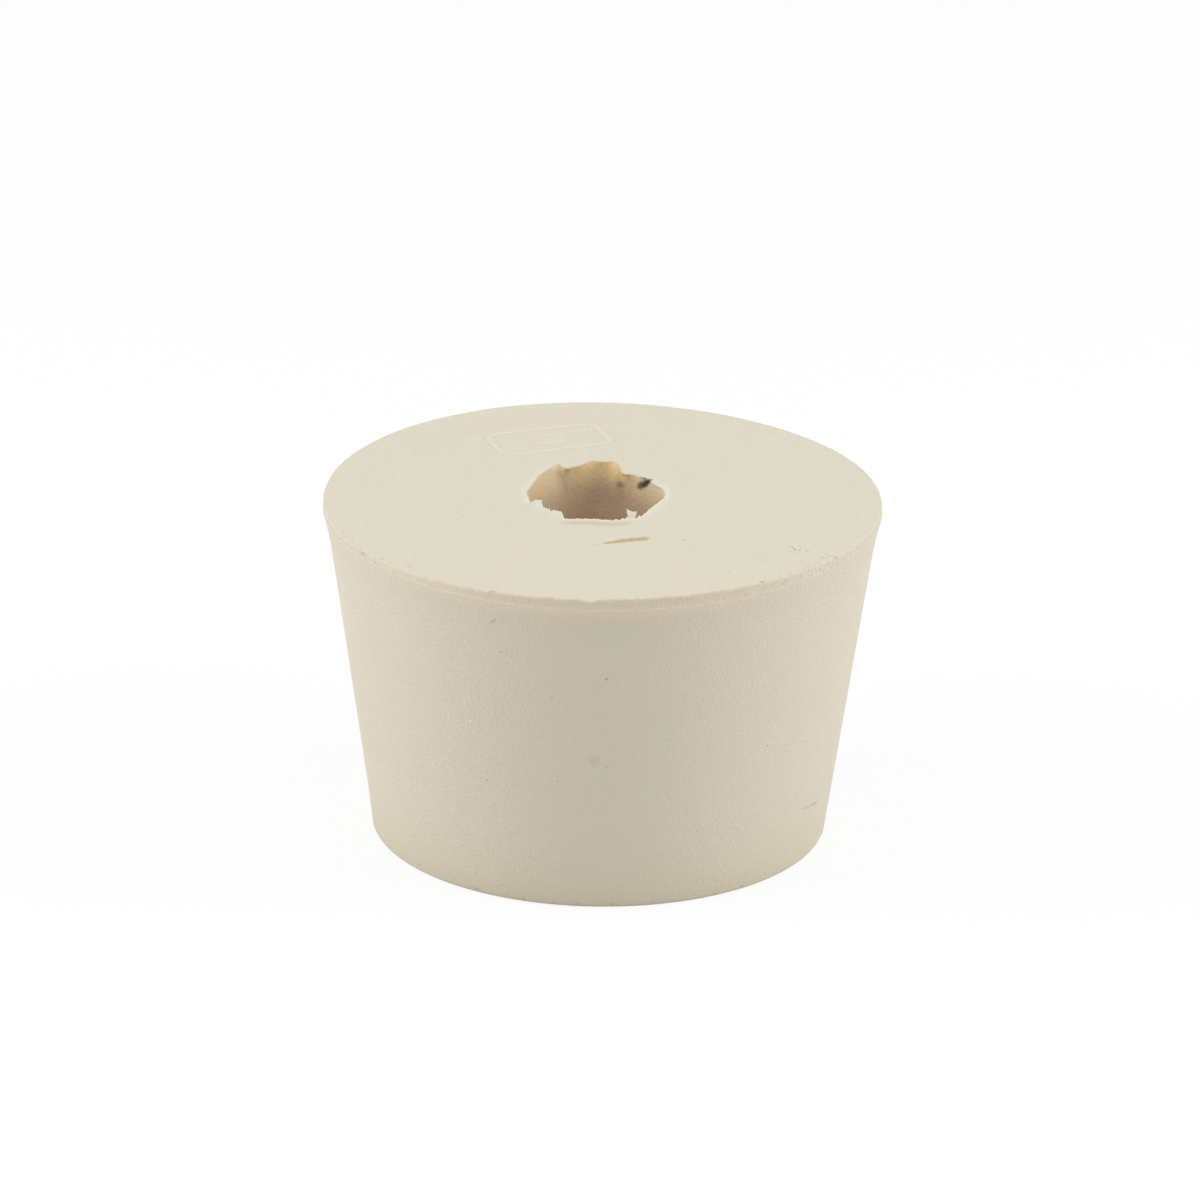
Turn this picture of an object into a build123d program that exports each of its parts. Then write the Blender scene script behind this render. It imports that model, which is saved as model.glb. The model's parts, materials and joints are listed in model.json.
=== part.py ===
from build123d import *
from math import atan2, cos, degrees, radians, sin
import os

# Rubber stopper, moulded in one piece: a solid cone that stands on its small end, with one
# bore from end to end. The origin is at the middle of the resting face, +Z up, millimetres.

# Cone
height = 25.4
top_diameter = 40.6
base_diameter = 33.3
base_edge_radius = 0.4

# Rim, where the flash was trimmed off level with the large end
trim_band_height = 1.06
ridge_proud = 0.19
flare_height = 2.9
band_swell = 0.07
rim_edge_bevel = 0.2

# Bore, a little off the middle
bore_diameter = 10.0
bore_x = -0.5
bore_y = 0.8

# Torn mouth of the bore. Each pair is a bearing round the bore, from +X towards +Y, and how far
# the rubber is torn back from the wall there, as a share of the longest tear. The ragged edge
# goes straight down through the skin of the face. Under the skin the tear runs through a round
# waist to a round foot. Both lean towards its deepest side, where the waist still lies outside
# the bore's wall and the foot just inside it.
skin_thickness = 0.3
tear_reach = 2.45
tear_bearing = 97
tear_waist_depth = 1.3
tear_waist_radius = 4.9
tear_waist_reach = 1.5
tear_foot_depth = 4.6
tear_foot_radius = 3.6
tear_foot_inset = 0.35
torn_edge = [
    (-10, 0.04), (15, 0.05), (34, 0.09), (54, 0.09), (66, 0.06), (73, 0.50), (80, 0.98),
    (91, 1.00), (98, 0.70), (107, 0.36), (113, 0.72), (120, 0.70), (133, 0.32), (150, 0.11),
    (180, 0.04), (212, 0.05), (238, 0.06), (247, 0.28), (270, 0.08), (290, 0.20), (303, 0.30),
    (312, 0.12), (330, 0.04),
]

# Skin left hanging over the mouth. Each flap lists bearings and how far it reaches in from the
# wall there, as a share of the longest flap.
flap_length = 1.25
flap_root = 1.3
flaps = [
    [(203, 0.00), (217, 0.16), (232, 0.52), (239, 0.46), (243, 0.00)],
    [(316, 0.00), (323, 0.13), (338, 0.20), (352, 0.00)],
    [(295, 0.00), (306, 1.00), (311, 0.45), (302, 0.00)],
    [(189, 0.00), (193, 0.40), (196, 0.70), (199, 0.00)],
]

# Shaved nick in the large face, in front of the bore
nick_length = 4.0
nick_width = 0.4
nick_depth = 0.3
nick_bow = 0.35
nick_x = 1.5
nick_y = -8.8
nick_turn = 24.0

# Raised blank size plate on the large face, behind the bore
plate_length = 9.0
plate_width = 4.8
plate_corner = 1.2
plate_line = 0.42
plate_relief = 0.12
plate_bar_length = 2.6
plate_bar_gap = 1.1
plate_x = -4.0
plate_y = 12.0
plate_turn = 21.0

bore_radius = bore_diameter / 2
base_radius = base_diameter / 2
side_rise = (top_diameter - base_diameter) / 2 / height
side_angle = degrees(atan2((top_diameter - base_diameter) / 2, height))
ridge_z = height - trim_band_height
flare_z = ridge_z - flare_height


# Radius of the plain cone at a height
def cone_radius(z):
    return base_radius + side_rise * z


# Point round the bore, at a bearing and a distance from the wall, outwards positive
def by_bore(bearing, reach):
    radius = bore_radius + reach
    return (bore_x + radius * cos(radians(bearing)), bore_y + radius * sin(radians(bearing)))


# Plane on the large face, centred on a feature and turned to lie along it
def face_plane(x, y, turn):
    return Plane((x, y, height)).rotated((0, 0, turn))


with BuildPart() as stopper:
    # Section of the cone, with the swell up to the ridge and the trimmed band over it
    with BuildSketch(Plane.XZ):
        with BuildLine():
            side = Polyline(
                (0, 0),
                (base_radius, 0),
                (cone_radius(flare_z), flare_z),
            )
            flare = TangentArc(
                side @ 1,
                (cone_radius(ridge_z) + ridge_proud, ridge_z),
                tangent=(sin(radians(side_angle)), cos(radians(side_angle))),
            )
            Polyline(
                flare @ 1,
                (cone_radius(ridge_z) + ridge_proud + band_swell, height),
                (0, height),
                (0, 0),
            )
        make_face()
    revolve(axis=Axis.Z)
    fillet(stopper.edges().group_by(Axis.Z)[0], base_edge_radius)
    chamfer(stopper.edges().group_by(Axis.Z)[-1], rim_edge_bevel)

    with Locations((bore_x, bore_y, height)):
        Hole(bore_radius)

    # The tear is cut through the skin, and under it closes in through its waist to its foot
    with BuildSketch(Plane.XY.offset(height - skin_thickness)) as mouth:
        with BuildLine():
            Spline(*[by_bore(bearing, share * tear_reach) for bearing, share in torn_edge],
                   periodic=True)
        make_face()
    extrude(mouth.sketch, amount=skin_thickness, mode=Mode.SUBTRACT)
    for depth, radius, reach in (
        (tear_waist_depth, tear_waist_radius, tear_waist_reach),
        (tear_foot_depth, tear_foot_radius, -tear_foot_inset),
    ):
        with BuildSketch(Plane.XY.offset(height - depth)):
            with Locations(by_bore(tear_bearing, reach - radius)):
                Circle(radius)
    loft(mode=Mode.SUBTRACT)

    with BuildSketch(Plane.XY.offset(height)):
        for flap in flaps:
            tips = [by_bore(bearing, -share * flap_length) for bearing, share in flap]
            roots = [by_bore(bearing, flap_root) for bearing in (flap[-1][0], flap[0][0])]
            with BuildLine():
                Polyline(*tips, *roots, close=True)
            make_face()
    extrude(amount=-skin_thickness)

    with BuildSketch(face_plane(nick_x, nick_y, nick_turn)):
        with BuildLine():
            near = ThreePointArc((-nick_length / 2, 0), (0, nick_bow), (nick_length / 2, 0))
            ThreePointArc(near @ 1, (0, nick_bow + nick_width), near @ 0)
        make_face()
    extrude(amount=-nick_depth, mode=Mode.SUBTRACT)

    with BuildSketch(face_plane(plate_x, plate_y, plate_turn)):
        RectangleRounded(plate_length, plate_width, plate_corner)
        RectangleRounded(
            plate_length - 2 * plate_line, plate_width - 2 * plate_line,
            plate_corner - plate_line, mode=Mode.SUBTRACT)
        with GridLocations(0, plate_bar_gap + plate_line, 1, 2):
            SlotOverall(plate_bar_length, plate_line)
    extrude(amount=plate_relief)

stopper.part.label = "stopper"
os.makedirs("parts", exist_ok=True)
export_step(stopper.part, "parts/stopper.step")
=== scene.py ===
import json
import math

import bpy
import numpy as np
from mathutils import Matrix, Vector


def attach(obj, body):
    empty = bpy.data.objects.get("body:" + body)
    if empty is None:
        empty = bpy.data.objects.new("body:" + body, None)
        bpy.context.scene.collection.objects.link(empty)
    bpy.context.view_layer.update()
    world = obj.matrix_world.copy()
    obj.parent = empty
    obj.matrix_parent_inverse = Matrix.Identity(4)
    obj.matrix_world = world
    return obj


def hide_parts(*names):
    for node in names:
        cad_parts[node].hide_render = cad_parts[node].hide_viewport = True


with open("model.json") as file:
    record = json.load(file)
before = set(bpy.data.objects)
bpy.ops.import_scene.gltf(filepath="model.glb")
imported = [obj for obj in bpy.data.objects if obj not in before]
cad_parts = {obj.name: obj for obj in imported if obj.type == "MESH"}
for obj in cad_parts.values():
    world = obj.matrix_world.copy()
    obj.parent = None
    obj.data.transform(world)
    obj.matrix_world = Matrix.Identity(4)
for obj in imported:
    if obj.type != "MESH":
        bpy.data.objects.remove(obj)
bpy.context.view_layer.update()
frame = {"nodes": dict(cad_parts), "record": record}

mm = 0.001  # every piece is worked out in millimetres, with bearings from +X towards +Y
print("frame loaded")


# Points of a CAD node's mesh, as rows of x, y, z in millimetres
def nodePoints(name):
    vertices = frame["nodes"][name].data.vertices
    flat = np.empty(len(vertices) * 3)
    vertices.foreach_get("co", flat)
    return flat.reshape(-1, 3) / mm


# Sizes that come from the frame: the rim, the large face, the plate and the bore
cad = nodePoints("stopper")
cadRadius = np.hypot(cad[:, 0], cad[:, 1])
rimRadius = cadRadius.max()
rimShare = 0.95  # what lies further out than this share of the rim's radius belongs to the rim
faceZ = cad[cadRadius > rimShare * rimRadius, 2].max()
plateRelief = cad[:, 2].max() - faceZ
boreMount = next(m for m in frame["record"]["mounts"] if m["name"] == "bore")
boreX, boreY = boreMount["pos_m"][0] / mm, boreMount["pos_m"][1] / mm
boreRadius = boreMount["dims"]["r_mm"]


# Radius and height of the widest CAD point under a share of the large face's height
def widestUnder(share):
    row = np.argmax(np.where(cad[:, 2] < share * faceZ, cadRadius, 0))
    return cadRadius[row], cad[row, 2]


coneShares = (0.04, 0.86)  # both lie on the plain cone, over its round edge and under the flare
(lowRadius, lowZ), (highRadius, highZ) = (widestUnder(share) for share in coneShares)
taper = (highRadius - lowRadius) / (highZ - lowZ)


# Radius of the plain cone at a height: a straight line through two CAD points
def coneRadius(z):
    return lowRadius + taper * (z - lowZ)


# Uneven ring: a sum of sines round the bearings, with counts from low to high, seeded phases,
# and seeded sizes that fall as the count rises. The largest swing is 1.
def ringNoise(bearing, low, high, fall, seed):
    random = np.random.default_rng(seed)
    counts = np.arange(low, high + 1)
    phases = random.uniform(0, 2 * np.pi, counts.size)
    sizes = random.uniform(0.4, 1, counts.size) * (low / counts) ** fall
    waves = np.sin(np.multiply.outer(bearing, counts) + phases) @ sizes
    return waves / np.abs(waves).max()


# Uneven plane: a sum of straight waves of about one length, with seeded directions and phases,
# over the square root of their count
def planeNoise(x, y, length, seed, count=9):
    random = np.random.default_rng(seed)
    turns, phases = random.uniform(0, 2 * np.pi, (2, count))
    pitches = 2 * np.pi / (length * random.uniform(0.7, 1.6, count))
    waves = (np.sin(chipShade * (x * np.cos(turn) + y * np.sin(turn)) + phase)
             for chipShade, turn, phase in zip(pitches, turns, phases))
    return sum(waves) / count ** 0.5


# Bell over a distance: 1 at 0, falling to nothing past about twice the width
def bell(distance, width):
    return np.exp(-(distance / width) ** 2)


# Smooth step: 0 up to start, 1 from end, with level ends
def smooth(value, start, end):
    share = np.clip((value - start) / (end - start), 0, 1)
    return share * share * (3 - 2 * share)


# Plateau over four limits: 0 outside the outer two, 1 between the inner two, with smooth steps
def plateau(value, limits):
    outerLow, innerLow, innerHigh, outerHigh = limits
    return smooth(value, outerLow, innerLow) * smooth(value, outerHigh, innerHigh)


# Share that rises steeply from 0 and levels out at 1: 1 less a power of what is left to the end
def levelling(value, end, power):
    return 1 - np.clip(1 - value / end, 0, 1) ** power


# Straight blend from one value at a share of 0 to another at a share of 1
def blend(first, second, share):
    return first + (second - first) * share


# Value read from (bearing, value) pairs in degrees, in straight lines from pair to pair
def roundTable(pairs, degrees):
    bearings, values = np.array(pairs).T
    return np.interp(degrees % 360, bearings, values, period=360)


# Circular average of a ring of values over a window of whole columns
def softened(values, window):
    kernel = np.hanning(window + 2)[1:-1]
    padded = np.concatenate([values[-window:], values, values[:window]])
    return np.convolve(padded, kernel / kernel.sum(), mode="same")[window:-window]


# Mesh from a grid of points. Columns run round and close on themselves. Rows close on themselves
# too where closed is set, and otherwise the first and last rows are closed with one face each.
def gridObject(name, points, closed, **attributes):
    rows, columns = points.shape[:2]
    index = np.arange(rows * columns).reshape(rows, columns)
    here = index if closed else index[:-1]
    above = np.roll(index, -1, axis=0) if closed else index[1:]
    quads = np.stack([here, np.roll(here, -1, axis=1), np.roll(above, -1, axis=1), above], axis=-1)
    faces = quads.reshape(-1, 4).tolist()
    if not closed:
        faces += [index[0, ::-1].tolist(), index[-1].tolist()]
    mesh = bpy.data.meshes.new(name)
    mesh.from_pydata((points.reshape(-1, 3) * mm).tolist(), [], faces)
    for key, values in attributes.items():
        layer = mesh.attributes.new(key, "FLOAT", "POINT")
        values = np.broadcast_to(values, (rows, columns)).astype(np.float32)
        layer.data.foreach_set("value", values.ravel())
    mesh.shade_smooth()
    piece = bpy.data.objects.new(name, mesh)
    bpy.context.scene.collection.objects.link(piece)
    return piece


# Large face: what a knife, a mould and handling left on it. The nick is given by three points,
# and by limits along it as shares of its length and across it in millimetres, backwards positive.
face = {
    "tilt": 0.0111, "twist": -0.0006, "frontRise": 0.0003,
    "uneven": 0.018, "unevenLength": 7.0, "unevenSeed": 3, "unevenFade": 3.0,
    "nickFrom": (-0.45, -9.40), "nickMiddle": (1.40, -8.38), "nickTo": (3.60, -7.74),
    "nickEnds": (0, 0.35, 0.8, 1), "nickDepth": 0.18, "nickRamps": (0.25, 1.05),
    "nickWall": 0.1, "nickLip": 0.07, "nickLipAcross": (0.05, 0.14, 0.14, 0.9),
    "nickFlap": 0.07, "nickFlapAt": 0.13, "nickFlapWidth": 0.07,
    "nickFlapAcross": (0.02, 0.1, 0.1, 0.6),
}


# Trimmed face of the knife's cut: a plane a little higher at the back than at the front, with a
# slight twist, that bends up again towards the front as the square of the distance
def facePlane(x, y):
    bent = face["frontRise"] * np.minimum(y, 0) ** 2
    return faceZ + face["tilt"] * y + face["twist"] * x * y + bent


# Shape of the nick at a point of the face: how far the rubber is cut down, as a share, and how
# high the skin behind it stands up, in millimetres. The nick is measured from a bowed line
# through its three points: along it from end to end, and across it, with a gentle ramp on the
# near side, a steep wall on the far side, and a raised lip with a flap behind that wall.
def nickShape(x, y):
    f = face
    start, middle, end = (np.array(f[key]) for key in ("nickFrom", "nickMiddle", "nickTo"))
    chord = end - start
    length = np.hypot(*chord)
    ahead = chord / length
    aside = np.array([-ahead[1], ahead[0]])
    bow = (middle - start) @ aside
    along = ((x - start[0]) * ahead[0] + (y - start[1]) * ahead[1]) / length
    across = (x - start[0]) * aside[0] + (y - start[1]) * aside[1]
    across = across - bow * 4 * along * (1 - along)
    ends = plateau(along, f["nickEnds"])
    ramp = blend(*f["nickRamps"], np.clip(along, 0, 1))
    cut = smooth(across / ramp, -1, 0) * smooth(across, f["nickWall"], 0)
    lip = f["nickLip"] * plateau(across, f["nickLipAcross"])
    flap = bell(along - f["nickFlapAt"], f["nickFlapWidth"])
    flap = f["nickFlap"] * flap * plateau(across, f["nickFlapAcross"])
    return ends * cut, ends * lip + flap


# Height of the large face: its plane, a low wave that fades at the rim, and the nick
def faceHeight(x, y):
    cut, raised = nickShape(x, y)
    wave = face["uneven"] * planeNoise(x, y, face["unevenLength"], face["unevenSeed"])
    wave = wave * smooth(faceRim - np.hypot(x, y), 0, face["unevenFade"])
    return facePlane(x, y) + wave + raised - face["nickDepth"] * cut


# Rubber body. Bearings and spans are in degrees. Each noise has its lowest and highest count,
# its fall and its seed.
body = {
    "columns": 600,
    "rings": {
        "base": 5, "edge": 6, "cone": 14, "rim": 5, "lip": 5, "skin": 2, "back": 4, "tear": 23,
        "bore": 6, "foot": 4,
    },
    "noise": {
        "ridge": (3, 40, 1.0, 5), "side": (2, 9, 0.8, 11), "rim": (6, 120, 0.7, 21),
        "rimFine": (90, 260, 0.1, 22), "rimRagged": (40, 220, 0.4, 23),
        "bead": (4, 50, 0.8, 8), "lip": (40, 160, 0.2, 31), "lipLift": (45, 150, 0.3, 33),
        "wall": (5, 30, 0.8, 41),
    },

    # Side: the round edge of the base, the cone and the flare
    "edgeRound": 0.4, "lowSwell": 0.09, "lowSwellBearing": 190, "lowSwellReach": 1.6,
    "sideUneven": 0.025, "sideFade": (1, 6), "flareHeight": 2.9, "flareProud": 0.19,
    "flareRings": [0.2, 0.4, 0.58, 0.72, 0.83, 0.9, 0.945, 0.965, 0.98, 0.99, 1.0],

    # Trimmed band, with the bead of the ridge at its foot and the rim over it
    "bandHeight": 0.80, "bandVaries": (0.11, 0.15), "bandBearing": -95, "bandSpan": 42,
    "bandRings": [0.04, 0.09, 0.15, 0.25, 0.4, 0.6, 0.8, 1.0],
    "ridgeUneven": 0.04, "bead": 0.05, "beadWidth": 0.15, "beadBehind": 0.15, "beadUneven": 0.5,
    "rimRound": 0.17, "rimUneven": 0.05, "rimFine": 0.02,
    "rimRagged": 0.075, "rimRaggedReach": 0.25, "rimSpan": 70,
    "rimNickBearing": 267.6, "rimNickWidth": 1.38, "rimNickDepth": 0.2, "rimNickReach": 0.54,

    # Rings of the large face, from the rim at 0 in to the lip at 1: the share that each stretch
    # ends at and how many rings it has. The last rings crowd up to the lip, by a power.
    "faceRings": [(0.05, 5), (0.64, 16), (0.79, 32), (0.92, 5)],
    "lipRings": 12, "lipCrowding": 1.6,

    # Lip of the mouth, and the hollow in front of it. A pair is the value at the back of the
    # mouth and the one at its front, which lies between the bearings of front.
    "front": (196, 206, 330, 352), "lipRound": (0.28, 0.05), "lipTurn": (48, 90),
    "liftReach": 0.55, "ragged": 0.16, "raggedLift": 0.26, "raggedReach": 0.2,
    "skinDrop": (0.01, 0.12), "skinStep": (0.02, 0.1), "skinLean": 0.6,
    "hollow": 0.06, "hollowAt": 0.625, "hollowWidth": 0.475,
    "hollowBearings": (240, 254, 286, 300),
    "windows": {"mouth": 3, "lift": 3, "rough": 9, "tornBand": 31},

    # Torn wall under the lip: how deep it goes, how its rings crowd to the top, the two powers
    # of its profile, and the rounder outlines that it goes over to by a depth
    "leastTear": 0.02, "tearDepth": 6.0, "tearCrowding": 1.8, "tearProfile": (1.35, 1.5),
    "lobes": {"windows": (27, 19), "depth": 0.45, "power": 2.0},
    "bowl": {"window": 75, "depth": 2.3, "power": 1.25},
    "wallUneven": 0.03, "wallFade": 0.3, "footRound": 0.25,

    # Tints: how far they reach, in millimetres, and their shares at the ends of each stretch
    # Pale skin round the lip, with a painted highlight on its edges
    "paleShare": 0.45, "paleReach": (0.5, 0.14),
    "skinShares": {"lipFoot": 0.5, "inner": (0.6, 0.2), "wall": 0.4, "wallDepth": 0.8},
    "boreShares": {"lipFoot": 0.2, "inner": (0.2, 0.3), "wall": 0.3, "wallDepth": 1.2},
    # The torn tint is the torn rubber's yellow with a painted glow of light through the thin lip,
    # fading downward
    "tornShares": {"lipFoot": 0.35, "inner": 0.6, "wall": 0.8, "wallDepth": 0.3,
                   "fade": (1.9, 0.4)},
    # Painted shade in the bore: its share, growing down to a depth, with more of it at the middle
    # and the flank
    "deepShare": 0.5, "deepDepth": 3.0, "boreAtFoot": 0.3,
    # Painted light under the notch, over a patch that the wall's turn shades
    "notchLight": {"bearing": 112, "span": 7, "share": 0.15, "depths": (2.2, 0.3)},
    "middle": {"bearing": 84, "span": 24, "share": 0.35, "depth": 1.9, "reach": 1.1},
    "flankShade": {"bearing": 75, "span": 9, "share": 0.75, "depths": (-0.2, 0.7, 1.4, 3.4)},
    "cutShadowShares": (0.03, 0.6), "sideStart": 0.5, "faceStart": 1.0, "lowReach": 6,
    # The ridge's reach is that of a painted highlight along the ridge, in front
    "bandFoot": (-0.05, 0.12), "bandTop": 0.1, "ridgeHighlightReach": (0.48, 0.105),
    "crumbReach": 0.4, "edgeCorner": 0.6, "edgeBehind": 0.25,
    "crumbPatches": [(14.15, -10.25, 0.75), (16.1, -11.4, 0.95), (-13.7, -14.1, 0.3)],

    # The mouth's outline, outwards from the bore's wall, and how far its skin is lifted
    "mouth": [
        (0, 0.02), (10, 0.10), (19, 0.05), (25.4, -0.10), (33, -0.10), (37, 0.02), (39, 0.11),
        (43, 0.04), (50, 0.08), (55, 0.14), (60, 0.12), (63.5, -0.10), (66, -0.05),
        (69.7, 0.28), (73.5, 1.10), (77, 1.76), (80, 2.13), (83.5, 1.97), (88, 1.92), (92, 2.05),
        (94.3, 1.92), (97, 1.68), (100, 1.38), (103.6, 1.22), (108, 1.10), (111, 1.02),
        (112.4, 1.15), (113.4, 1.95), (117, 1.78), (121, 1.42), (125.5, 1.22), (131, 0.95),
        (136, 0.75), (146, 0.33), (157, 0.09), (165.7, 0.02), (171, 0.11), (178, 0.03),
        (185, -0.07), (192, -0.04), (201.5, 0.07), (203, -0.28), (205, -0.48), (207.3, -0.55),
        (213, -0.34), (217.4, -0.16), (220, -0.13), (227.6, -0.22), (230.3, -0.28),
        (233.4, -0.20), (235.4, -0.31), (238.4, -0.24), (242.5, 0.08), (245.4, 0.54),
        (247, 0.50), (251, 0.31), (257, 0.07), (269, -0.01), (277, 0.21), (281.3, 0.34),
        (288, 0.41), (296, 0.31), (298.4, 0.42), (300.2, 0.70), (303.4, 0.68), (306, 0.53),
        (308.2, 0.65), (311.5, 0.50), (316.5, 0.17), (323, -0.08), (331.6, -0.20), (340, -0.24),
        (347.5, -0.18), (353, -0.06),
    ],
    "lift": [
        (92, 0.0), (97, -0.03), (101, -0.06), (107, -0.07), (112, -0.06), (115, 0.0),
        (180, 0.0), (197, 0.02), (202, 0.06), (204.5, 0.28), (208, 0.28), (213, 0.24),
        (217, 0.18), (220, 0.14), (224, 0.10), (229, 0.11), (233, 0.15), (235.4, 0.19),
        (238, 0.18), (242.5, 0.13), (246, 0.04), (250, 0.02), (300, 0.03), (303, 0.07),
        (308, 0.12), (312, 0.11), (316, 0.08), (323, 0.03), (335, 0.01), (350, 0.01),
    ],

    # Round the mouth: how ragged its lip is, and shares of the pale skin, with its painted
    # highlight, and of the torn rubber, with its painted glow
    "rough": [
        (0, 0.15), (190, 0.0), (205, 0.8), (214, 0.5), (222, 0.75), (240, 0.75), (246, 0.4),
        (285, 0.3), (300, 0.4), (310, 0.8), (320, 0.5), (335, 0.35),
    ],
    "paleLip": [
        (0, 0.60), (30, 0.45), (50, 0.15), (62, 0.0), (106, 0.0), (125, 0.30), (150, 0.45),
        (190, 0.45), (206, 1.0), (330, 1.0), (345, 0.80),
    ],
    "tornBand": [
        (0, 0.30), (30, 0.30), (55, 0.55), (64, 0.55), (74, 0.9), (85, 1.0), (104, 0.9),
        (125, 0.65), (145, 0.5), (170, 0.4), (195, 0.0), (345, 0.0),
    ],

    # Round the rim: share of the crumbs
    "crumbs": [
        (30, 0.0), (180, 0.2), (195, 0.5), (205, 1.0), (215, 1.0), (222, 0.6), (230, 0.8),
        (240, 0.4), (255, 0.25), (270, 0.35), (290, 0.25), (305, 0.5), (315, 0.9), (332, 0.9),
        (345, 0.4),
    ],
}
faceRim = rimRadius - body["rimRound"]


# Closed surface of revolution gone ragged: rings of points carried along the section, which runs
# out over the base, up the side, in over the large face, round the mouth's lip and down the bore.
# Rings on the base and the face slide from the bore's centre to the cone's axis, in shares.
def rubberBody():
    b, count, windows = body, body["rings"], body["windows"]
    bearing = np.linspace(0, 2 * np.pi, b["columns"], endpoint=False)
    degrees = np.degrees(bearing)
    cosine, sine = np.cos(bearing), np.sin(bearing)
    boreCentre = (boreX, boreY)
    rings = {"x": [], "y": [], "z": []}
    tints = {"bore": [], "deep": [], "torn": [], "skin": [], "shade": []}

    # Adds rings at given places, with each tint's share there
    def addPlaces(x, y, z, **shares):
        for axis, values in zip("xyz", (x, y, z)):
            rings[axis].append(np.broadcast_to(values, x.shape))
        for tint, kept in tints.items():
            kept.append(np.broadcast_to(shares.get(tint, 0.0), x.shape))

    # Adds rings about a centre: radius and height are arrays of rings by columns
    def add(radius, height, centre=(0, 0), **shares):
        radius, height = np.broadcast_arrays(radius, height, bearing)[:2]
        addPlaces(centre[0] + radius * cosine, centre[1] + radius * sine, height, **shares)

    # Column of shares, from just over 0 up to 1
    def steps(rows):
        return np.linspace(0, 1, rows + 1)[1:, None]

    # Noise round the bearings by its name in the settings
    def uneven(part):
        return ringNoise(bearing, *b["noise"][part])

    # Table round the bearings by its name in the settings, softened over its window
    def table(part):
        return softened(roundTable(b[part], degrees), windows[part])

    # Share of a stain round its bearing
    def stain(part):
        return b[part]["share"] * bell(degrees - b[part]["bearing"], b[part]["span"])

    # Base, from the bore's foot out to the edge
    slant = math.atan(taper)
    edge = b["edgeRound"]
    footRing = boreRadius + b["footRound"]
    arcRadius = coneRadius(0) + edge * math.tan(slant) - edge / math.cos(slant)
    share = np.linspace(0, 1, count["base"])[:, None]
    addPlaces(blend(boreX + footRing * cosine, arcRadius * cosine, share),
              blend(boreY + footRing * sine, arcRadius * sine, share), 0.0)

    # Edge of the base, and the cone up to where the flare starts
    turn = blend(-math.pi / 2, -slant, steps(count["edge"]))
    lowSwell = b["lowSwell"] * (1 + np.cos(bearing - math.radians(b["lowSwellBearing"]))) / 2
    height = edge + edge * np.sin(turn)
    add(arcRadius + edge * np.cos(turn) + lowSwell * smooth(height, 0, edge), height)
    bandHeight = b["bandHeight"] + sum(
        size * np.cos((i + 1) * (bearing - math.radians(b["bandBearing"])))
        for i, size in enumerate(b["bandVaries"]))
    ridgeZ = faceZ - bandHeight - b["ridgeUneven"] * uneven("ridge")
    flareZ = ridgeZ.mean() - b["flareHeight"]
    height = blend(edge * (1 - math.sin(slant)), flareZ, steps(count["cone"]))
    sideWave = b["sideUneven"] * uneven("side")
    add(coneRadius(height) + lowSwell * bell(height - edge, b["lowSwellReach"])
        + sideWave * smooth(height, *b["sideFade"]), height)

    # Flare, the bead of the ridge and the trimmed band over it
    rimWave = b["rimUneven"] * uneven("rim")
    rimWave = rimWave + b["rimFine"] * uneven("rimFine")
    nick = b["rimNickDepth"] * bell(degrees - b["rimNickBearing"], b["rimNickWidth"])
    away = np.abs((degrees - b["bandBearing"] + 180) % 360 - 180)
    rimRagged = b["rimRagged"] * bell(away, b["rimSpan"]) * uneven("rimRagged")
    bandTop = facePlane(rimRadius * cosine, rimRadius * sine) - b["rimRound"] - nick + rimRagged
    upFlare, upBand = (np.array(b[part])[:, None] for part in ("flareRings", "bandRings"))
    height = np.concatenate([blend(flareZ, ridgeZ, upFlare), blend(ridgeZ, bandTop, upBand)])
    rise = np.clip((height - flareZ) / (ridgeZ - flareZ), 0, 1)
    ridgeRadius = coneRadius(ridgeZ) + b["flareProud"]
    upBand = np.clip((height - ridgeZ) / (bandTop - ridgeZ), 0, 1)
    bandSwell = (rimRadius - ridgeRadius) * upBand
    inFront = bell(away, b["bandSpan"])
    bead = b["bead"] * blend(b["beadBehind"], 1, inFront) * bell(height - ridgeZ, b["beadWidth"])
    bead = bead * (1 + b["beadUneven"] * uneven("bead"))
    radius = coneRadius(np.minimum(height, ridgeZ)) + b["flareProud"] * rise ** 2
    add(radius + bandSwell + bead + blend(sideWave, rimWave, upBand), height)

    # Rim's edge
    turn = math.pi / 2 * steps(count["rim"])
    rimRing = rimRadius + rimWave - b["rimRound"]
    add(rimRing + b["rimRound"] * np.cos(turn), bandTop + b["rimRound"] * np.sin(turn))

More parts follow.
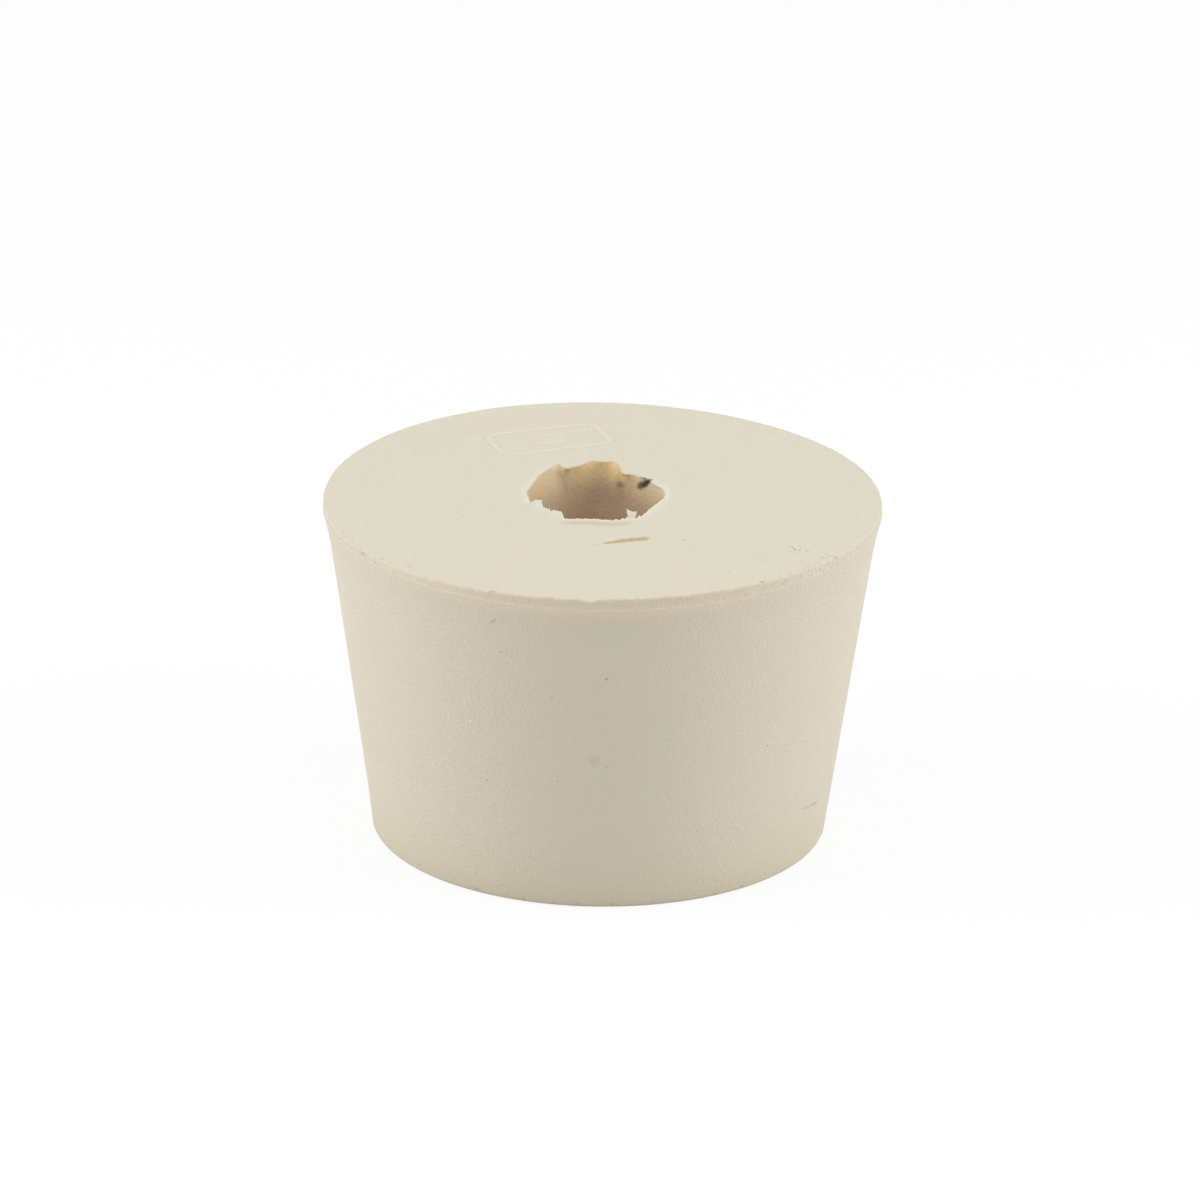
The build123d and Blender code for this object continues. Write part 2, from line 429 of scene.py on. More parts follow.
    # Large face, in to the mouth's lip. Most rings lie where the nick and the lip need them.
    stretches, start = [], 0
    for end, rows in b["faceRings"]:
        stretches.append(blend(start, end, steps(rows)))
        start = end
    left = 1 - np.linspace(0, 1, b["lipRings"] + 1)[1:, None]
    stretches.append(1 - (1 - start) * left ** b["lipCrowding"])
    share = np.concatenate(stretches)
    front = plateau(degrees, b["front"])
    behind = 1 - front
    rough = table("rough")
    reach = table("mouth") + b["ragged"] * rough * uneven("lip")
    lipRound = blend(*b["lipRound"], front)
    lipTurn = np.radians(blend(*b["lipTurn"], front))
    lipRing = boreRadius + reach + lipRound * np.sin(lipTurn)
    faceX = blend(rimRing * cosine, boreX + lipRing * cosine, share)
    faceY = blend(rimRing * sine, boreY + lipRing * sine, share)
    inward = rimRing - np.hypot(faceX, faceY)
    fromLip = np.hypot(faceX - boreX, faceY - boreY) - lipRing
    hollow = plateau(degrees, b["hollowBearings"])
    hollow = hollow * bell(fromLip - b["hollowAt"], b["hollowWidth"])
    faceTop = faceHeight(faceX, faceY) + table("lift") * bell(fromLip, b["liftReach"])
    faceTop = faceTop - b["hollow"] * hollow
    raggedLift = b["raggedLift"] * rough * uneven("lipLift")
    faceTop = faceTop + raggedLift * bell(fromLip, b["raggedReach"])
    faceTop = faceTop - nick * bell(inward, b["rimNickReach"])
    faceTop = faceTop + rimRagged * bell(inward, b["rimRaggedReach"])
    # Pale skin near the lip, with a painted highlight on its edge, and painted shade in the hollow
    # in front of it
    paleLip = roundTable(b["paleLip"], degrees)
    wide, narrow = b["paleReach"]
    paleAndHighlight = np.maximum(b["paleShare"] * bell(fromLip, wide), bell(fromLip, narrow))
    addPlaces(faceX, faceY, faceTop, skin=paleLip * paleAndHighlight, shade=hollow)

    # Lip of the mouth: its round, its inner side, and the underside of the skin back to the wall
    skinAt, boreAt, tornAt = b["skinShares"], b["boreShares"], b["tornShares"]
    # Share of the torn rubber's yellow, with its painted glow of light through the thin lip
    torn = table("tornBand")
    down = steps(count["lip"])
    turn = down * lipTurn
    add(lipRing - lipRound * np.sin(turn), faceTop[-1] - lipRound * (1 - np.cos(turn)), boreCentre,
        skin=paleLip * blend(1, skinAt["lipFoot"], behind * down),
        bore=boreAt["lipFoot"] * behind * down, torn=tornAt["lipFoot"] * torn * behind * down)
    lipFoot = faceTop[-1] - lipRound * (1 - np.cos(lipTurn))
    drop = blend(*b["skinDrop"], front)
    lean = b["skinLean"] * drop * behind
    down = steps(count["skin"])
    add(boreRadius + reach - down * lean, lipFoot - down * drop, boreCentre,
        skin=paleLip * blend(*skinAt["inner"], behind * down), bore=blend(*boreAt["inner"], front),
        torn=behind * torn * blend(tornAt["lipFoot"], tornAt["inner"], down))
    skinFoot = lipFoot - drop
    reach = reach - lean
    tear = np.maximum(reach, b["leastTear"])
    wallTop = skinFoot - blend(*b["skinStep"], front)
    back = steps(count["back"])
    add(boreRadius + blend(reach, tear, back), blend(skinFoot, wallTop, back), boreCentre,
        bore=blend(*boreAt["inner"], back),
        torn=torn * blend(tornAt["inner"], tornAt["wall"], back))

    # Torn wall under it: it goes over from the ragged outline to a smoother and smoother one, and
    # with depth closes in on the bore's own wall
    depth = steps(count["tear"]) ** b["tearCrowding"]
    below = depth * b["tearDepth"]
    lobes, bowl = b["lobes"], b["bowl"]
    wide, narrow = lobes["windows"]
    rolled = softened(np.minimum(tear, softened(tear, wide)), narrow)
    outline = blend(tear, rolled, levelling(below, lobes["depth"], lobes["power"]))
    outline = blend(outline, softened(tear, bowl["window"]),
                    levelling(below, bowl["depth"], bowl["power"]))
    inner, outer = b["tearProfile"]
    wallUneven = b["wallUneven"] * uneven("wall") * smooth(depth, 0, b["wallFade"])
    notchLight, middle, flankShade = b["notchLight"], b["middle"], b["flankShade"]
    skin = skinAt["wall"] * paleLip * smooth(below, skinAt["wallDepth"], 0)
    # Painted light under the notch, where the wall's turn shades it
    skin = skin + stain("notchLight") * smooth(below, *notchLight["depths"])
    # Painted shade that deepens down the wall, with more at the middle and the flank
    deep = b["deepShare"] * smooth(below, 0, b["deepDepth"])
    deep = deep + stain("middle") * bell(below - middle["depth"], middle["reach"])
    deep = deep + stain("flankShade") * plateau(below, flankShade["depths"])
    # Torn yellow and its painted glow, fading down the wall
    torn = torn * blend(tornAt["wall"], 1, smooth(below, 0, tornAt["wallDepth"]))
    add(boreRadius + outline * (1 - depth ** inner) ** outer + wallUneven, wallTop - below,
        boreCentre, skin=skin, deep=deep, torn=torn * smooth(below, *tornAt["fade"]),
        bore=blend(boreAt["wall"], 1, smooth(below, 0, boreAt["wallDepth"])))

    # Bore's wall and the round at its foot, which meets the first ring of the base
    foot = b["footRound"]
    drop = steps(count["bore"])
    add(boreRadius + wallUneven[-1] * (1 - drop), blend(wallTop - b["tearDepth"], foot, drop),
        boreCentre, bore=1.0, deep=b["deepShare"])
    down = steps(count["foot"])[:-1]
    turn = math.pi / 2 * down
    add(boreRadius + foot * (1 - np.cos(turn)), foot * (1 - np.sin(turn)), boreCentre,
        bore=blend(1, b["boreAtFoot"], down), deep=b["deepShare"])

    # Shares of the tints that go by where a point lies
    x, y, height = (np.concatenate(rings[axis]) for axis in "xyz")
    around = np.hypot(x, y)
    onFace = height > faceZ - b["faceStart"]
    outside = around > arcRadius - b["sideStart"]
    # Painted warm shadow and glow in the nick
    cut = smooth(nickShape(x, y)[0], *b["cutShadowShares"]) * onFace
    side = outside * smooth(height, bandTop + b["rimRound"], bandTop)
    low = outside * smooth(height, b["lowReach"], 0)
    startLow, startHigh = b["bandFoot"]
    onBand = outside * smooth(height, ridgeZ + startLow, ridgeZ + startHigh)
    onBand = onBand * smooth(height, bandTop + b["rimRound"], bandTop - b["bandTop"])
    # Painted highlight along the ridge, in front, carried as the ridge's tint
    under, over = b["ridgeHighlightReach"]
    ridge = outside * inFront * bell(height - ridgeZ, np.where(height < ridgeZ, under, over))
    fromRim = np.hypot(around - rimRing, np.maximum(bandTop - height, 0))
    crumbs = np.maximum(onBand, bell(fromRim, b["crumbReach"]))
    crumbs = outside * crumbs * roundTable(b["crumbs"], degrees)
    for centreX, centreY, size in b["crumbPatches"]:
        crumbs = np.maximum(crumbs, onFace * bell(np.hypot(x - centreX, y - centreY), size))
    corner = b["edgeCorner"] * b["rimRound"]
    edge = bell(np.hypot(around - rimRing - corner, height - bandTop - corner), b["rimRound"])
    return gridObject(
        "rubberBody", np.stack([x, y, height], axis=-1), True, cutTint=cut, sideTint=side,
        lowTint=low, bandTint=onBand * inFront, bandEndTint=onBand * (1 - inFront),
        ridgeTint=ridge, edgeTint=edge * blend(b["edgeBehind"], 1, inFront), crumbTint=crumbs,
        **{tint + "Tint": np.concatenate(kept) for tint, kept in tints.items()})


# Raised blank plate behind the bore: its frame and its two short bars
plate = {
    "length": 9.0, "width": 4.8, "corner": 1.2, "line": 0.42, "margin": 1.5,
    "barLength": 2.6, "barGap": 1.1, "centre": (-4.0, 12.0), "turn": 21.0,
    "crown": 0.1, "shoulder": 1.6, "footShadeWidth": 0.6, "crestHighlightWidth": 0.7,
    "step": 0.06, "sunk": 0.02, "depth": 0.3,
}


# Height field on a rectangle. The frame is where the distance to a rounded rectangle's edge is
# under half a line's width, the bars where the distance to a short straight line is, and both
# rise as a soft bell. Everything else lies just under the large face, and a skirt closes it.
def raisedPlate():
    p = plate
    halfLength, halfWidth = (p[key] / 2 + p["margin"] * p["line"] for key in ("length", "width"))
    u = np.arange(-halfLength, halfLength, p["step"])
    v = np.arange(-halfWidth, halfWidth, p["step"])
    u, v = np.meshgrid(u, v, indexing="ij")
    middle = p["line"] / 2
    cornerU = np.abs(u) - (p["length"] / 2 - p["corner"])
    cornerV = np.abs(v) - (p["width"] / 2 - p["corner"])
    edge = np.hypot(np.maximum(cornerU, 0), np.maximum(cornerV, 0))
    edge = edge + np.minimum(np.maximum(cornerU, cornerV), 0) - p["corner"] + middle
    barEnd = np.maximum(np.abs(u) - (p["barLength"] - p["line"]) / 2, 0)
    bar = np.hypot(barEnd, np.abs(v) - (p["barGap"] + p["line"]) / 2)
    distance = np.minimum(np.abs(edge), bar)
    line = 1 - smooth(distance, middle * p["crown"], middle * p["shoulder"])
    turn = math.radians(p["turn"])
    x = p["centre"][0] + u * math.cos(turn) - v * math.sin(turn)
    y = p["centre"][1] + u * math.sin(turn) + v * math.cos(turn)
    top = faceHeight(x, y) - p["sunk"] + (plateRelief + p["sunk"]) * line
    points = np.stack([x, y, top], axis=-1)
    skirt = points - np.array([0, 0, p["depth"]])
    # Painted shade at the foot of each raised line, and a painted highlight on its crest
    foot = bell(distance - p["shoulder"] * middle, p["footShadeWidth"] * middle)
    crest = bell(distance, p["crestHighlightWidth"] * middle)

    # The grid is wrapped: each row runs over the top and back under it, as one closed ring
    wrapped = np.concatenate([points[:, ::-1], skirt], axis=1)
    foot, crest = (np.concatenate([part[:, ::-1], part], axis=1) for part in (foot, crest))
    return gridObject("raisedPlate", wrapped, False, footTint=foot, crestTint=crest)


# Torn tab that stands on the front of the mouth: its root on the lip and its wider, forked tip
tab = {
    "rootLeft": (1.86, -4.02, -0.15), "rootRight": (2.36, -3.98, -0.15),
    "tipLeft": (1.74, -3.05, 0.24), "tipRight": (2.50, -3.30, 0.15),
    "rings": 14, "columns": 32, "oval": 0.6, "thickness": 0.09, "thinning": 0.6,
    "bow": 0.06, "fork": 0.12, "tipPower": 3, "skinShare": 0.5, "shadeShares": (0.65, 0.2),
}


# Thin flake: a patch between a root line and a tip line, bowed across, wrapped by a flat oval
# section that runs round it, with its tip cut to a shallow fork
def tornTab():
    t = tab
    around = np.linspace(0, 2 * np.pi, t["columns"], endpoint=False)[None, :]
    up = np.linspace(0, 1, t["rings"])[:, None]
    across = np.sign(np.cos(around)) * np.abs(np.cos(around)) ** t["oval"]
    rootLeft, rootRight, tipLeft, tipRight = (
        np.array(t[key]) for key in ("rootLeft", "rootRight", "tipLeft", "tipRight"))
    left = blend(rootLeft, tipLeft, up[..., None])
    right = blend(rootRight, tipRight, up[..., None])
    points = blend(left, right, (across[..., None] + 1) / 2)
    normal = np.cross(tipLeft - rootLeft, rootRight - rootLeft)
    normal = normal / np.linalg.norm(normal)
    thick = t["thickness"] * (1 - t["thinning"] * up) * np.sin(around) / 2
    bowed = t["bow"] * np.sin(np.pi * up) * (1 - across ** 2)
    points = points + (thick + bowed)[..., None] * normal
    nearTip = up ** t["tipPower"]
    points[..., 2] += t["fork"] * nearTip * across ** 2 + facePlane(*rootLeft[:2])
    return gridObject("tornTab", points, False, skinTint=t["skinShare"] * nearTip,
                      shadeTint=blend(*t["shadeShares"], up))


rubber = rubberBody()
blank = raisedPlate()
flake = tornTab()
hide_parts("stopper")
for piece in (rubber, blank, flake):
    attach(piece, "root")
print("rubber pieces made:", len(rubber.data.polygons), "faces in the body")

# Cream gum rubber. Colours are linear light. The base goes over to a cooler one in broad patches
# and to a warmer one in fine mottling. Tints are then multiplied or mixed in, by shares that the
# pieces carry. A noise has its scale and its detail. A spread has the two values of a pattern
# that its share goes between.
finish = {
    "base": (0.740, 0.688, 0.556), "cool": (0.731, 0.687, 0.560), "warm": (0.746, 0.685, 0.550),
    "patches": (900.0 / 7, 2.0), "patchSpread": (0.35, 0.65),
    "mottle": (900.0, 3.0), "mottleSpread": (0.45, 0.7),
    # Among the multiplied tints, the ridge one is a painted highlight along the ridge in front,
    # the crest one a painted highlight on the plate's lines, the foot one painted shade at their
    # foot, and the shade one painted shade before the lip and on the tab
    "multiplied": {
        "side": (0.99, 0.967, 0.967), "low": (0.955, 0.96, 0.91), "band": (1.05, 1.01, 0.96),
        "bandEnd": (0.965, 0.95, 0.96), "ridge": (1.14, 1.08, 1.025),
        "foot": (0.92, 0.905, 0.87), "crest": (1.07, 1.07, 1.07), "shade": (0.83, 0.79, 0.66),
    },
    # Among the mixed tints, the deep one is painted shade down the bore, the torn one the torn
    # rubber's yellow with a painted glow, the skin one pale skin with a painted highlight on the
    # lip's edges, and the cut one a painted shadow and glow in the nick
    "mixed": {
        "bore": (0.74, 0.595, 0.385), "deep": (0.50, 0.36, 0.24), "torn": (0.75, 0.56, 0.27),
        "skin": (0.87, 0.84, 0.71), "cut": (0.60, 0.44, 0.20),
    },
    "edge": (0.77, 0.69, 0.50), "edgeNoise": (3200.0, 3.0), "edgeSpread": (0.4, 0.62),
    "speck": (0.54, 0.48, 0.36), "speckScale": 1000.0, "speckSpread": (0.09, 0.036),
    "speckChances": (0.65, 1.0), "speckBore": (0.3, 0.0),
    "crumbScale": 4800.0, "crumbSpread": (0.55, 0.2), "crumbStrength": 0.75,
    "crumbColours": [  # dark and pale crumbs, each with the chances that a cell is one
        ((0.48, 0.39, 0.28), (0.66, 0.95)),
        ((0.84, 0.80, 0.68), (0.40, 0.10)),
    ],
    "stir": (5000.0, 2.0), "stirReach": 0.00012, "strokeSpread": (1.0, 0.35),
    "roughness": 0.62, "grain": (4500.0, 2.0), "grainHeight": 0.00006,
}

# Dirt, scuffs and pale specks, with painted shade at a chip and a pit in the bore, and a painted
# shadow and a painted highlight at the nick.
# Each stroke runs from one place on the surface to another, with its half width in millimetres and
# its strength.
marks = {
    "chipShadeSoft": {"colour": (0.20, 0.165, 0.135), "strokes": [  # soft painted shade round the dark ones
        ((3.25, 4.20, 25.20), (2.60, 4.72, 24.55), 0.50, 0.45),
        ((1.10, 6.90, 23.98), (1.60, 5.60, 24.42), 0.48, 0.50),
        ((1.00, 6.30, 24.50), (1.10, 6.10, 23.90), 0.85, 0.20),
    ]},
    "chipShade": {"colour": (0.055, 0.037, 0.030), "strokes": [  # painted shade of a chip and a pit in the bore's torn edge
        ((3.60, 3.92, 25.44), (2.66, 4.70, 24.55), 0.34, 1.0),
        ((2.90, 4.50, 24.85), (2.66, 4.72, 24.60), 0.36, 0.8),
        ((2.66, 4.78, 25.40), (3.46, 4.04, 25.33), 0.11, 0.75),
        ((1.15, 6.70, 24.05), (1.50, 5.80, 24.36), 0.30, 0.30),
    ]},
    "dark": {"colour": (0.23, 0.185, 0.135), "strokes": [
        ((0.38, -19.33, 18.82), (0.42, -19.33, 18.78), 0.14, 0.55),
        ((0.46, -18.29, 11.66), (0.46, -18.29, 11.66), 0.09, 0.55),
        ((12.04, -13.81, 11.61), (12.04, -13.81, 11.61), 0.10, 0.6),
        ((14.29, -10.28, 6.54), (14.29, -10.28, 6.54), 0.09, 0.3),
        ((-8.08, -16.14, 9.67), (-8.08, -16.14, 9.67), 0.10, 0.5),
        ((-7.11, -18.24, 20.37), (-7.05, -18.26, 20.40), 0.10, 0.4),
        ((-3.52, -18.76, 17.10), (-3.45, -18.77, 17.12), 0.12, 0.25),
        ((-19.20, -6.67, 24.41), (-19.20, -6.67, 24.30), 0.12, 0.45),
        ((-18.58, -6.94, 22.04), (-18.58, -6.94, 22.04), 0.10, 0.4),
        ((17.45, -10.01, 23.56), (17.45, -10.01, 23.56), 0.12, 0.55),
        ((9.17, -14.75, 25.40), (9.17, -14.75, 25.40), 0.12, 0.45),
        ((11.25, -16.87, 25.39), (11.55, -16.70, 25.33), 0.14, 0.45),
        ((14.43, -14.07, 25.41), (14.55, -13.90, 25.41), 0.12, 0.35),
        ((5.67, -8.57, 25.36), (6.11, -8.20, 25.37), 0.12, 0.35),
        ((13.70, -9.90, 25.40), (13.98, -10.45, 25.40), 0.12, 0.45),
        ((14.14, -10.50, 25.40), (14.30, -9.90, 25.41), 0.12, 0.40),
        ((14.60, -10.60, 25.40), (14.90, -10.20, 25.40), 0.11, 0.35),
        ((13.40, -9.60, 25.41), (13.75, -9.55, 25.41), 0.10, 0.40),
        ((15.76, -11.95, 25.42), (15.90, -11.75, 25.42), 0.12, 0.45),
        ((16.13, -11.32, 25.42), (16.25, -11.25, 25.42), 0.12, 0.45),
        ((16.65, -11.70, 25.35), (16.75, -11.55, 25.35), 0.12, 0.40),
    ]},
    "scuff": {"colour": (0.44, 0.43, 0.35), "strokes": [
        ((-7.97, -18.26, 22.57), (-7.40, -18.57, 22.97), 0.11, 0.7),
        ((-0.41, -18.35, 12.05), (-0.30, -18.35, 12.25), 0.55, 0.22),
    ]},
    "rustAndShadow": {"colour": (0.42, 0.28, 0.15), "strokes": [
        ((14.86, -8.94, 4.74), (15.39, -7.93, 4.57), 0.11, 0.5),
        ((15.39, -7.93, 4.57), (16.01, -6.51, 4.39), 0.12, 0.6),
        ((-8.93, -14.20, 0.42), (-8.60, -14.40, 0.36), 0.14, 0.45),
        ((-5.50, -15.84, 0.37), (-5.30, -15.90, 0.33), 0.12, 0.45),
        ((-3.40, -16.40, 0.32), (-3.10, -16.46, 0.30), 0.10, 0.4),
        ((-1.52, -16.68, 0.35), (-1.40, -16.69, 0.33), 0.10, 0.4),
        ((0.86, -16.73, 0.35), (1.20, -16.71, 0.30), 0.12, 0.5),
        ((8.32, -14.49, 0.28), (8.60, -14.33, 0.26), 0.12, 0.45),
        ((10.29, -13.16, 0.30), (10.50, -13.00, 0.30), 0.12, 0.5),
        ((10.79, -12.92, 1.15), (10.79, -12.92, 1.15), 0.10, 0.5),
        ((-17.40, -10.65, 25.08), (-16.90, -11.40, 24.95), 0.16, 0.30),
        ((-14.10, -13.95, 25.19), (-13.50, -14.00, 25.19), 0.14, 0.35),
        ((-8.00, -18.75, 25.15), (-7.30, -18.90, 25.21), 0.14, 0.35),
        ((15.90, -11.80, 25.42), (16.60, -11.50, 25.40), 0.12, 0.30),
        # painted shadow line under the nick's small flap
        ((-0.75, -9.28, 25.36), (-0.15, -9.60, 25.33), 0.09, 0.40),
    ]},
    "paleAndHighlight": {"colour": (0.92, 0.90, 0.82), "strokes": [
        ((-2.21, -18.50, 13.94), (-2.21, -18.50, 13.94), 0.10, 0.5),
        ((-9.32, -16.23, 14.25), (-9.32, -16.23, 14.25), 0.13, 0.8),
        ((9.40, -14.65, 25.39), (9.40, -14.65, 25.39), 0.14, 0.4),
        ((13.90, -9.70, 25.41), (14.25, -10.30, 25.40), 0.10, 0.4),
        ((16.13, -11.22, 25.42), (16.70, -10.90, 25.40), 0.12, 0.4),
        # painted highlight along the nick's raised lip
        ((-0.15, -9.02, 25.44), (1.30, -8.22, 25.40), 0.15, 0.55),
        ((1.30, -8.22, 25.40), (3.30, -7.66, 25.40), 0.12, 0.40),
    ]},
}


# Node with its settings, and its inlets given by name, or by number as in0, in1 and so on
def addNode(tree, kind, settings=(), **inputs):
    made = tree.nodes.new(kind)
    for key, value in dict(settings).items():
        setattr(made, key, value)
    for key, value in inputs.items():
        numbered = key.startswith("in") and key[2:].isdigit()
        socket = made.inputs[int(key[2:]) if numbered else key]
        if isinstance(value, bpy.types.NodeSocket):
            tree.links.new(value, socket)
        else:
            socket.default_value = value
    return made


# Colour laid over another by a factor, which is an outlet. Inlets 6 and 7 are the two colours.
def mixed(tree, factor, under, over, blendType="MIX"):
    under, over = (value if isinstance(value, bpy.types.NodeSocket) else (*value, 1)
                   for value in (under, over))
    made = addNode(tree, "ShaderNodeMix", {"data_type": "RGBA", "blend_type": blendType},
                   in0=factor, in6=under, in7=over)
    return made.outputs[2]


# Factor from 0 up to a top, from a value between two limits, smoothed
def ramp(tree, value, start, end, top=1.0):
    made = addNode(tree, "ShaderNodeMapRange", {"interpolation_type": "SMOOTHSTEP"},
                   in0=value, in1=start, in2=end, in3=0.0, in4=top)
    return made.outputs[0]


# Result of a sum of one kind on two factors
def reckoned(tree, operation, first, second):
    return addNode(tree, "ShaderNodeMath", {"operation": operation},
                   in0=first, in1=second).outputs[0]


# Strength of one colour's marks: each stroke is an ellipsoid along it, and the strongest wins
def strokeShare(tree, place, strokes):
    total = 0.0
    for start, end, width, strength in strokes:
        start, along = Vector(start), Vector(end) - Vector(start)
        turn = along.to_track_quat("X", "Z").to_euler() if along.length else (0, 0, 0)
        size = Vector((along.length / 2 + width, width, width)) * mm
        near = addNode(tree, "ShaderNodeMapping", {"vector_type": "TEXTURE"}, Vector=place,
                       Location=(start + along / 2) * mm, Rotation=turn, Scale=size)
        far = addNode(tree, "ShaderNodeVectorMath", {"operation": "LENGTH"}, in0=near.outputs[0])
        share = ramp(tree, far.outputs["Value"], *finish["strokeSpread"], strength)
        total = reckoned(tree, "MAXIMUM", share, total)
    return total


# Material of all the pieces: the base colour, with its tints, specks, crumbs and marks laid over
# one another, and a fine grain
def rubberMaterial():
    f = finish
    material = bpy.data.materials.new("creamRubber")
    material.use_nodes = True
    tree = material.node_tree
    shader = tree.nodes["Principled BSDF"]
    place = addNode(tree, "ShaderNodeTexCoord").outputs["Object"]

    # Noise at the piece's own place, from a pair in the settings
    def noise(part):
        scale, detail = f[part]
        return addNode(tree, "ShaderNodeTexNoise", Vector=place, Scale=scale, Detail=detail)

    # Cells at the piece's own place: the distance to a cell's middle, and each cell's own chance
    def cells(scale):
        made = addNode(tree, "ShaderNodeTexVoronoi", Vector=place, Scale=scale)
        chance = addNode(tree, "ShaderNodeSeparateColor", Color=made.outputs["Color"])
        return made.outputs["Distance"], chance.outputs[0]

    # Share that a piece carries, which is 0 where it has none
    def carried(part):
        made = addNode(tree, "ShaderNodeAttribute", {"attribute_name": part + "Tint"})
        return made.outputs["Fac"]

    patches = ramp(tree, noise("patches").outputs[0], *f["patchSpread"])
    mottle = ramp(tree, noise("mottle").outputs[0], *f["mottleSpread"])
    colour = mixed(tree, mottle, mixed(tree, patches, f["base"], f["cool"]), f["warm"])

    # Tints, and the yellower edge of the rim, which a noise breaks up
    for blendType, tints in (("MULTIPLY", f["multiplied"]), ("MIX", f["mixed"])):
        for part, tint in tints.items():
            colour = mixed(tree, carried(part), colour, tint, blendType)
    broken = ramp(tree, noise("edgeNoise").outputs[0], *f["edgeSpread"])
    colour = mixed(tree, reckoned(tree, "MULTIPLY", carried("edge"), broken), colour, f["edge"])

    # Fine specks in a few of the cells of a pattern, outside the bore
    distance, chance = cells(f["speckScale"])
    kept = ramp(tree, chance, *f["speckChances"])
    dots = reckoned(tree, "MULTIPLY", ramp(tree, distance, *f["speckSpread"]), kept)
    dots = reckoned(tree, "MULTIPLY", dots, ramp(tree, carried("bore"), *f["speckBore"]))
    colour = mixed(tree, dots, colour, f["speck"])

    # Crumbs on the trimmed rim: each cell of a finer pattern is dark, pale or plain
    distance, chance = cells(f["crumbScale"])
    dots = ramp(tree, distance, *f["crumbSpread"])
    dots = reckoned(tree, "MULTIPLY", carried("crumb"), dots)
    for tint, chances in f["crumbColours"]:
        kept = ramp(tree, chance, *chances, f["crumbStrength"])
        colour = mixed(tree, reckoned(tree, "MULTIPLY", dots, kept), colour, tint)

    # Marks, at a place that a fine noise about its middle value makes ragged
    stir = addNode(tree, "ShaderNodeVectorMath", {"operation": "SUBTRACT"},
                   in0=noise("stir").outputs["Color"], in1=(0.5, 0.5, 0.5))
    stirred = addNode(tree, "ShaderNodeVectorMath", {"operation": "MULTIPLY_ADD"},
                      in0=stir.outputs[0], in1=(f["stirReach"],) * 3, in2=place)
    for mark in marks.values():
        share = strokeShare(tree, stirred.outputs[0], mark["strokes"])
        colour = mixed(tree, share, colour, mark["colour"])
    tree.links.new(colour, shader.inputs["Base Color"])
    shader.inputs["Roughness"].default_value = f["roughness"]
    bump = addNode(tree, "ShaderNodeBump", Height=noise("grain").outputs[0], Strength=1.0,
                   Distance=f["grainHeight"])
    tree.links.new(bump.outputs[0], shader.inputs["Normal"])
    return material


creamRubber = rubberMaterial()
for piece in (rubber, blank, flake):
    piece.data.materials.append(creamRubber)
print("materials made")

# Floor, world and lamps. A lamp's level is the light that it alone would throw on a surface that
# faces it, where 1 shows a colour as it is written. The floor glows by its shown share where the
# camera sees it, and the rest of it takes shadows.
studio = {
    "floorSize": 6.0, "floorColour": (0.76, 0.76, 0.76), "floorShown": 0.82, "floorGlow": 1.06,
    "sky": 0.455, "skyShown": 1.0,
    "lamps": {
        "overhead": {"place": (0.0, 0.02, 0.42), "size": 0.30, "level": 0.10},
        "leftSide": {"place": (-0.38, -0.05, 0.22), "size": 0.34, "level": 0.56},
        "rightSide": {"place": (0.38, -0.05, 0.22), "size": 0.34, "level": 0.56},
    },
    "aim": (0.0, 0.0, 0.014),
}
white = (1, 1, 1, 1)


# Ray test that is 1 where a ray comes from the camera, a glossy bounce or a see-through one
def shownDirectly(tree):
    path = addNode(tree, "ShaderNodeLightPath")
    first = reckoned(tree, "MAXIMUM", path.outputs["Is Camera Ray"], path.outputs["Is Glossy Ray"])
    return reckoned(tree, "MAXIMUM", first, path.outputs["Is Transmission Ray"])


# Wide plain floor, matt grey to the light and close to white to the camera
def studioFloor():
    s = studio
    half = s["floorSize"] / 2
    corners = [(-half, -half, 0), (half, -half, 0), (half, half, 0), (-half, half, 0)]
    mesh = bpy.data.meshes.new("floor")
    mesh.from_pydata(corners, [], [(0, 1, 2, 3)])
    floor = bpy.data.objects.new("floor", mesh)
    bpy.context.scene.collection.objects.link(floor)
    material = bpy.data.materials.new("floorWhite")
    material.use_nodes = True
    tree = material.node_tree
    tree.nodes.remove(tree.nodes["Principled BSDF"])
    plain = addNode(tree, "ShaderNodeBsdfDiffuse", Color=(*s["floorColour"], 1))
    glow = addNode(tree, "ShaderNodeEmission", Color=white, Strength=s["floorGlow"])
    shown = reckoned(tree, "MULTIPLY", shownDirectly(tree), s["floorShown"])
    both = addNode(tree, "ShaderNodeMixShader", in0=shown, in1=plain.outputs[0],
                   in2=glow.outputs[0])
    tree.links.new(both.outputs[0], tree.nodes["Material Output"].inputs["Surface"])
    mesh.materials.append(material)


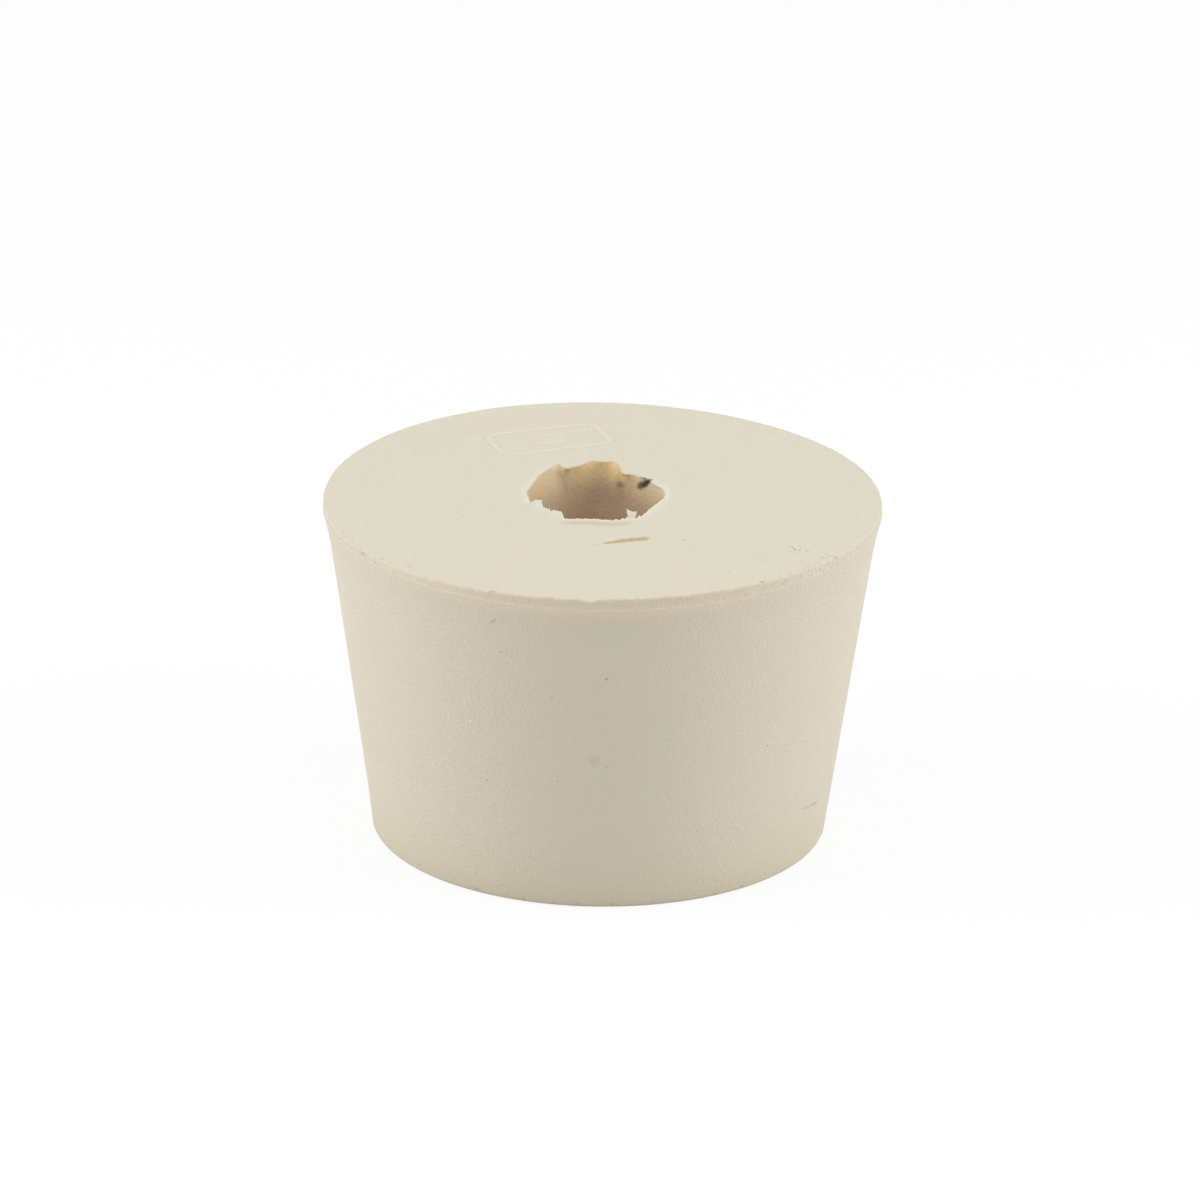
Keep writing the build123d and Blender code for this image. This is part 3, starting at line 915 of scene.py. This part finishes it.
# World that lights softly from all round, and that is white to the camera
def studioSky():
    world = bpy.data.worlds.new("studio")
    world.use_nodes = True
    bpy.context.scene.world = world
    tree = world.node_tree
    tree.nodes.remove(tree.nodes["Background"])
    lit = addNode(tree, "ShaderNodeBackground", Color=white, Strength=studio["sky"])
    shown = addNode(tree, "ShaderNodeBackground", Color=white, Strength=studio["skyShown"])
    both = addNode(tree, "ShaderNodeMixShader", in0=shownDirectly(tree), in1=lit.outputs[0],
                   in2=shown.outputs[0])
    tree.links.new(both.outputs[0], tree.nodes["World Output"].inputs["Surface"])


# Square soft lamps. A level of 1 at a distance d takes pi squared times d squared watts.
def studioLamps():
    aim = Vector(studio["aim"])
    for name, lamp in studio["lamps"].items():
        data = bpy.data.lights.new(name, "AREA")
        data.shape = "SQUARE"
        data.size = lamp["size"]
        away = Vector(lamp["place"]) - aim
        data.energy = lamp["level"] * (math.pi * away.length) ** 2
        made = bpy.data.objects.new(name, data)
        made.location = lamp["place"]
        made.rotation_euler = away.to_track_quat("Z", "Y").to_euler()
        bpy.context.scene.collection.objects.link(made)


studioFloor()
studioSky()
studioLamps()
print("studio made")

# Camera, as the photograph was taken: its distance and elevation from the middle of the object,
# its slight roll, and where the object sits in the frame
shot = {
    "distance": 0.605, "elevation": 21.31, "roll": 0.65, "middle": 0.0127,
    "lens": 246.8, "sensor": 36.0, "shift": (-0.0007, 0.0503), "clip": (0.01, 20),
}


# Long lens in front of the object, a little above it, that looks at its middle
def shotCamera():
    data = bpy.data.cameras.new("shot")
    data.lens, data.sensor_width = shot["lens"], shot["sensor"]
    data.shift_x, data.shift_y = shot["shift"]
    data.clip_start, data.clip_end = shot["clip"]
    made = bpy.data.objects.new("shot", data)
    bpy.context.scene.collection.objects.link(made)
    up = math.radians(shot["elevation"])
    away = Vector((0, -math.cos(up), math.sin(up))) * shot["distance"]
    made.matrix_world = (
        Matrix.Translation(away + Vector((0, 0, shot["middle"])))
        @ Matrix.Rotation(math.pi / 2 - up, 4, "X")
        @ Matrix.Rotation(math.radians(shot["roll"]), 4, "Z"))
    bpy.context.scene.camera = made


shotCamera()
bpy.context.scene.view_settings.view_transform = "Standard"
print("camera made")
